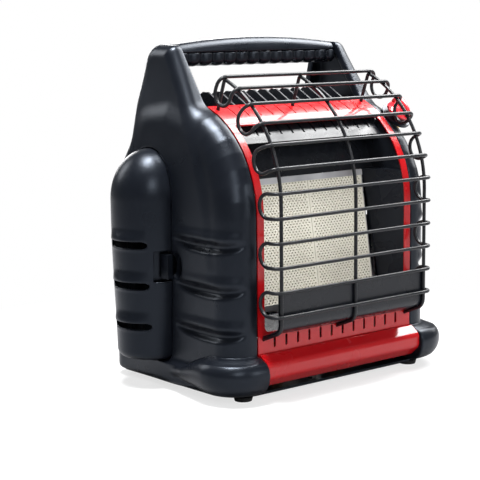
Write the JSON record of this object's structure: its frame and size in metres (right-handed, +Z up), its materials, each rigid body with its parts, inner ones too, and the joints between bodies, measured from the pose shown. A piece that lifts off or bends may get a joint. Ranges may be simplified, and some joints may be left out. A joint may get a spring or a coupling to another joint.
{
  "type": "portable propane heater",
  "caption": "Cabinet gas heater with perforated ceramic burner tiles behind a wrap-over wire guard, carry handle, shoulder knob, and hinged side covers over cylinder bays.",
  "frame": {"origin": "on the floor under the centre of the overall box", "axes": "+X to the right seen from the front, +Y to the back, +Z up"},
  "size_m": [0.4444, 0.2794, 0.4318],
  "materials": {
    "charcoal_plastic": "fine moulded grain, semi-gloss",
    "black_plastic": "smooth moulded",
    "red_enamel": "gloss enamel",
    "red_plastic": "gloss",
    "black_wire": "satin coating",
    "black_sheet": "satin heat-resistant paint",
    "ceramic_tile": "matt, finely perforated",
    "plated_steel": "zinc plated",
    "brass": "turned",
    "cast_zinc": "die cast",
    "aluminium_tube": "drawn",
    "white_ceramic": "glazed",
    "rubber": "matt"
  },
  "bodies": {
    "cabinet": {"base_pan": "charcoal_plastic", "battery_box": "charcoal_plastic", "battery_contacts": "plated_steel", "battery_door_pin": "plated_steel", "bumper": "red_enamel", "burner_feed_tube": "aluminium_tube", "burner_housing": "plated_steel", "burner_legs": "plated_steel", "burner_manifold": "brass", "deflector_plate": "black_sheet", "fan_bracket": "plated_steel", "fan_motor": "plated_steel", "fan_switch_housing": "charcoal_plastic", "feet": "rubber", "flame_sensor": "brass", "front_panel": "red_enamel", "gas_line": "aluminium_tube", "gas_valve": "brass", "guard_loops": "black_wire", "guard_uprights": "black_wire", "handle_grip": "charcoal_plastic", "handle_upper": "charcoal_plastic", "heat_shield": "black_sheet", "hose_connector": "brass", "knob_bezel": "charcoal_plastic", "left_cover_hinge_pins": "plated_steel", "left_regulator_post": "brass", "left_side_shell": "charcoal_plastic", "left_tile": "ceramic_tile", "orifices": "brass", "pilot_bracket": "plated_steel", "pilot_burner": "brass", "power_jack": "black_plastic", "rear_cover": "charcoal_plastic", "rear_screws": "plated_steel", "reflector": "black_sheet", "right_cover_hinge_pins": "plated_steel", "right_regulator_post": "brass", "right_side_shell": "charcoal_plastic", "right_tile": "ceramic_tile", "spark_electrode": "white_ceramic", "tile_clips": "plated_steel", "tilt_switch": "black_plastic", "top_grille": "black_sheet", "valve_inlet_tube": "aluminium_tube", "venturi_tubes": "aluminium_tube"},
    "left_cover": {"left_tank_cover": "charcoal_plastic"},
    "right_cover": {"right_tank_cover": "charcoal_plastic"},
    "left_latch": {"left_cover_latch": "charcoal_plastic"},
    "right_latch": {"right_cover_latch": "charcoal_plastic"},
    "left_regulator": {"left_regulator": "cast_zinc"},
    "right_regulator": {"right_regulator": "cast_zinc"},
    "spindle": {"valve_spindle": "plated_steel"},
    "knob": {"control_knob": "red_plastic"},
    "fan": {"fan_wheel": "black_plastic"},
    "battery_door": {"battery_door": "charcoal_plastic"},
    "fan_rocker": {"fan_rocker": "black_plastic"}
  },
  "joints": [
    {"name": "left_cover_hinge", "type": "hinge", "parent": "cabinet", "child": "left_cover", "pos_m": [-0.176, 0.1155, 0.13], "axis": [0, 0, -1], "range_deg": [0, 95]},
    {"name": "left_latch_slide", "type": "slide", "parent": "left_cover", "child": "left_latch", "axis": [0, 1, 0], "range_m": [0, 0.002], "stiffness_N_per_m": 300},
    {"name": "left_regulator_swivel", "type": "hinge", "parent": "cabinet", "child": "left_regulator", "pos_m": [-0.14, 0.024, 0.256], "axis": [0, 0, 1], "range_deg": [0, 28]},
    {"name": "right_cover_hinge", "type": "hinge", "parent": "cabinet", "child": "right_cover", "pos_m": [0.176, 0.1155, 0.13], "axis": [0, 0, 1], "range_deg": [0, 95]},
    {"name": "right_latch_slide", "type": "slide", "parent": "right_cover", "child": "right_latch", "axis": [0, 1, 0], "range_m": [0, 0.002], "stiffness_N_per_m": 300},
    {"name": "right_regulator_swivel", "type": "hinge", "parent": "cabinet", "child": "right_regulator", "pos_m": [0.14, 0.024, 0.256], "axis": [0, 0, -1], "range_deg": [0, 28]},
    {"name": "knob_press", "type": "slide", "parent": "cabinet", "child": "spindle", "axis": [0, 0.6343, -0.7731], "range_m": [0, 0.004], "stiffness_N_per_m": 600},
    {"name": "knob_turn", "type": "hinge", "parent": "spindle", "child": "knob", "pos_m": [0.154, -0.052, 0.32559], "axis": [0, 0.6343, -0.7731], "range_deg": [0, 210]},
    {"name": "fan_spin", "type": "hinge", "parent": "cabinet", "child": "fan", "pos_m": [0, 0.11, 0.165], "axis": [0, 1, 0], "continuous": true},
    {"name": "battery_door_hinge", "type": "hinge", "parent": "cabinet", "child": "battery_door", "pos_m": [0, 0.1372, 0.093], "axis": [1, 0, 0], "range_deg": [0, 100]},
    {"name": "fan_rocker_tilt", "type": "hinge", "parent": "cabinet", "child": "fan_rocker", "pos_m": [-0.096, 0.1343, 0.236], "axis": [0, 0, 1], "range_deg": [-8, 8]}
  ],
  "couplings": [
    {"joint": "left_regulator_swivel", "follows": "left_cover_hinge", "ratio": 0.2947},
    {"joint": "right_regulator_swivel", "follows": "right_cover_hinge", "ratio": 0.2947}
  ]
}
